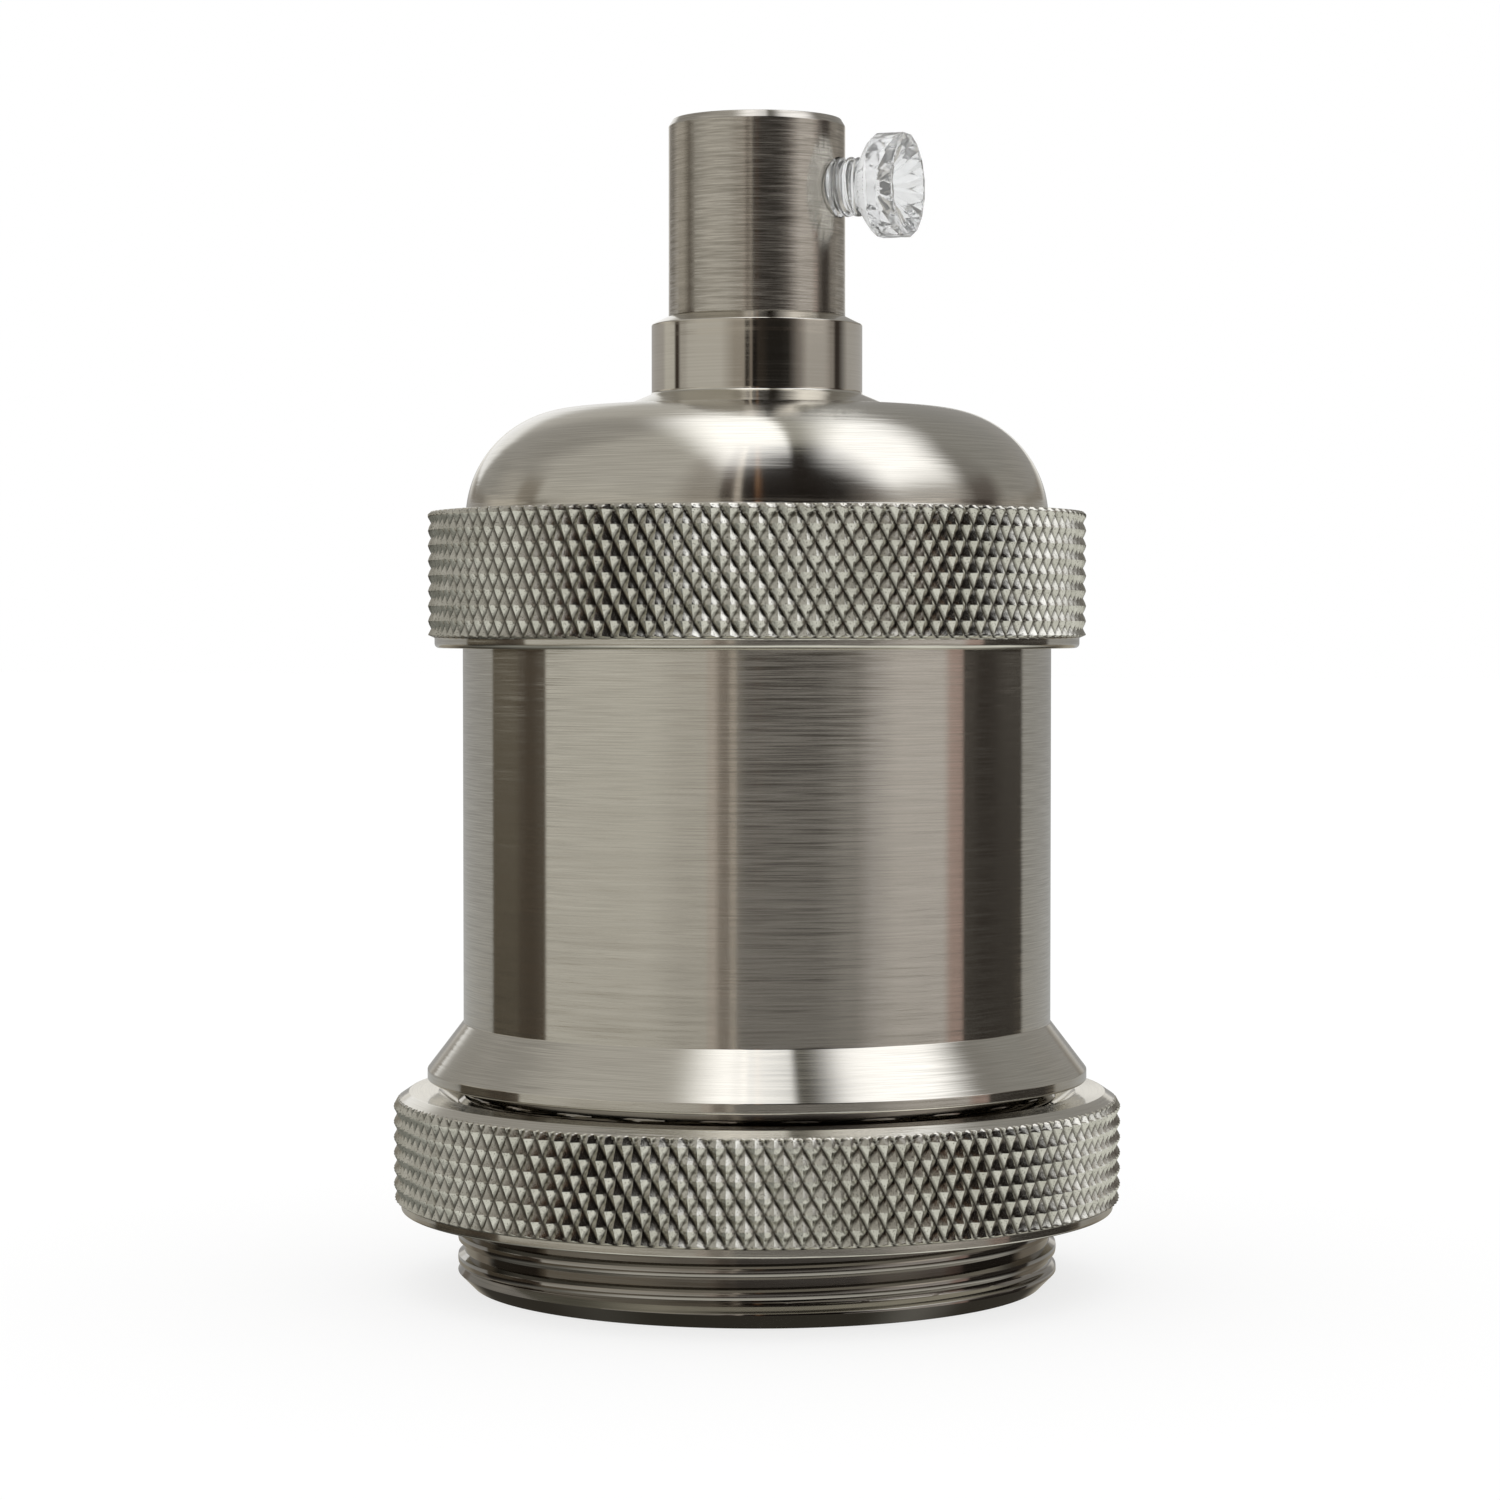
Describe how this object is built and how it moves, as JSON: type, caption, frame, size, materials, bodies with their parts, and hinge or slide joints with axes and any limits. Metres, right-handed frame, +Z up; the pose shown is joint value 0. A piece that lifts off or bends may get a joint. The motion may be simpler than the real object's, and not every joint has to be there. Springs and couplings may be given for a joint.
{
  "type": "lamp holder",
  "caption": "Turned metal lamp holder for a hanging light: knurled cap with cord grip and clear thumb screw, barrel with knurled shade ring, porcelain screw socket inside.",
  "frame": {"origin": "on the axis at the rim of the threaded neck, where the bulb goes in", "axes": "+Z up the axis towards the cord grip, +X along the thumb screw"},
  "size_m": [0.0496, 0.0496, 0.0791],
  "materials": {
    "nickel_barrel": "turned, satin nickel plate",
    "nickel_ring": "diamond knurl, satin nickel plate",
    "nickel_cap": "turned and knurled, satin nickel plate",
    "nickel_grip": "brushed nickel plate",
    "zinc_steel": "bright zinc plate",
    "brass": "plain brass",
    "spring_bronze": "phosphor bronze strip",
    "nickel_shell": "nickel-plated rolled brass",
    "clear_plastic": "clear moulded plastic",
    "porcelain": "glazed white porcelain"
  },
  "bodies": {
    "holder": {"barrel": "nickel_barrel", "porcelain_insert": "porcelain", "screw_shell": "nickel_shell", "contact_rivet": "brass", "neutral_terminal": "brass", "live_terminal": "brass", "neutral_screw": "zinc_steel", "live_screw": "zinc_steel", "shell_rivet_1": "brass", "shell_rivet_2": "brass", "shell_rivet_3": "brass"},
    "shade_ring": {"shade_ring": "nickel_ring"},
    "cap": {"cap": "nickel_cap", "nipple": "zinc_steel", "lock_washer": "zinc_steel", "lock_nut": "zinc_steel", "earth_strap": "zinc_steel", "earth_clamp": "brass", "earth_screw": "brass"},
    "cord_grip": {"cord_grip": "nickel_grip"},
    "grip_screw": {"grip_screw": "clear_plastic"},
    "centre_contact": {"centre_contact": "spring_bronze"}
  },
  "joints": [
    {"name": "shade_ring_travel", "type": "slide", "parent": "holder", "child": "shade_ring", "axis": [0, 0, 1], "range_m": [-0.0135, 0.0007]},
    {"name": "cap_lift", "type": "slide", "parent": "holder", "child": "cap", "axis": [0, 0, 1], "range_m": [0, 0.03]},
    {"name": "cord_grip_lift", "type": "slide", "parent": "cap", "child": "cord_grip", "axis": [0, 0, 1], "range_m": [0, 0.0062]},
    {"name": "grip_screw_travel", "type": "slide", "parent": "cord_grip", "child": "grip_screw", "axis": [1, 0, 0], "range_m": [-0.0017, 0.0018]},
    {"name": "centre_contact_flex", "type": "hinge", "parent": "holder", "child": "centre_contact", "pos_m": [-0.0075, 0, 0.03], "axis": [0, -1, 0], "range_deg": [0, 6], "stiffness_Nm_per_rad": 0.05}
  ]
}
